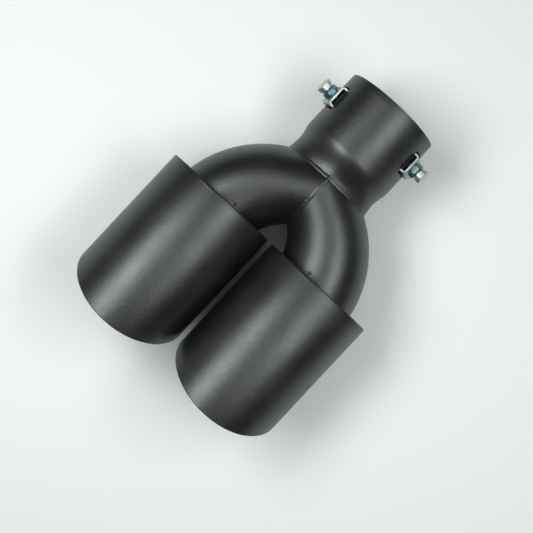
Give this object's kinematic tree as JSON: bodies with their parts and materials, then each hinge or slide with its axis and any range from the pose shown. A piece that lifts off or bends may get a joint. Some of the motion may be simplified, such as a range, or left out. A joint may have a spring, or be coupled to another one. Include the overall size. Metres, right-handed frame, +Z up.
{
  "type": "twin exhaust tip",
  "caption": "Side-by-side round slash-cut outlets on a welded Y pipe; the inlet collar grips a tailpipe with clamp screws in side clips.",
  "frame": {"origin": "centre of the inlet collar's mouth, on the collar's axis", "axes": "+Y out of the inlet towards the tailpipe, +X to the right seen from above with the inlet away from the viewer, +Z up"},
  "size_m": [0.1816, 0.2423, 0.089],
  "materials": {
    "black_coat": "matt to satin black powder coat",
    "inner_black": "matt black, inside of the tips",
    "zinc": "bright zinc plate with a faint blue-green passivation"
  },
  "bodies": {
    "tip_assembly": {"left_tip_shell": "black_coat", "right_tip_shell": "black_coat", "left_inner_sleeve": "inner_black", "right_inner_sleeve": "inner_black", "left_back_plate": "black_coat", "right_back_plate": "black_coat", "left_elbow": "black_coat", "right_elbow": "black_coat", "inlet_collar": "black_coat", "left_clip": "zinc", "right_clip": "zinc", "left_clip_nut": "zinc", "right_clip_nut": "zinc"},
    "left_screw": {"left_clamp_screw": "zinc"},
    "right_screw": {"right_clamp_screw": "zinc"}
  },
  "joints": [
    {"name": "left_screw_travel", "type": "slide", "parent": "tip_assembly", "child": "left_screw", "axis": [-0.9659, 0, 0.2588], "range_m": [-0.0011, 0.004]},
    {"name": "right_screw_travel", "type": "slide", "parent": "tip_assembly", "child": "right_screw", "axis": [0.9659, 0, 0.2588], "range_m": [-0.0011, 0.004]}
  ]
}
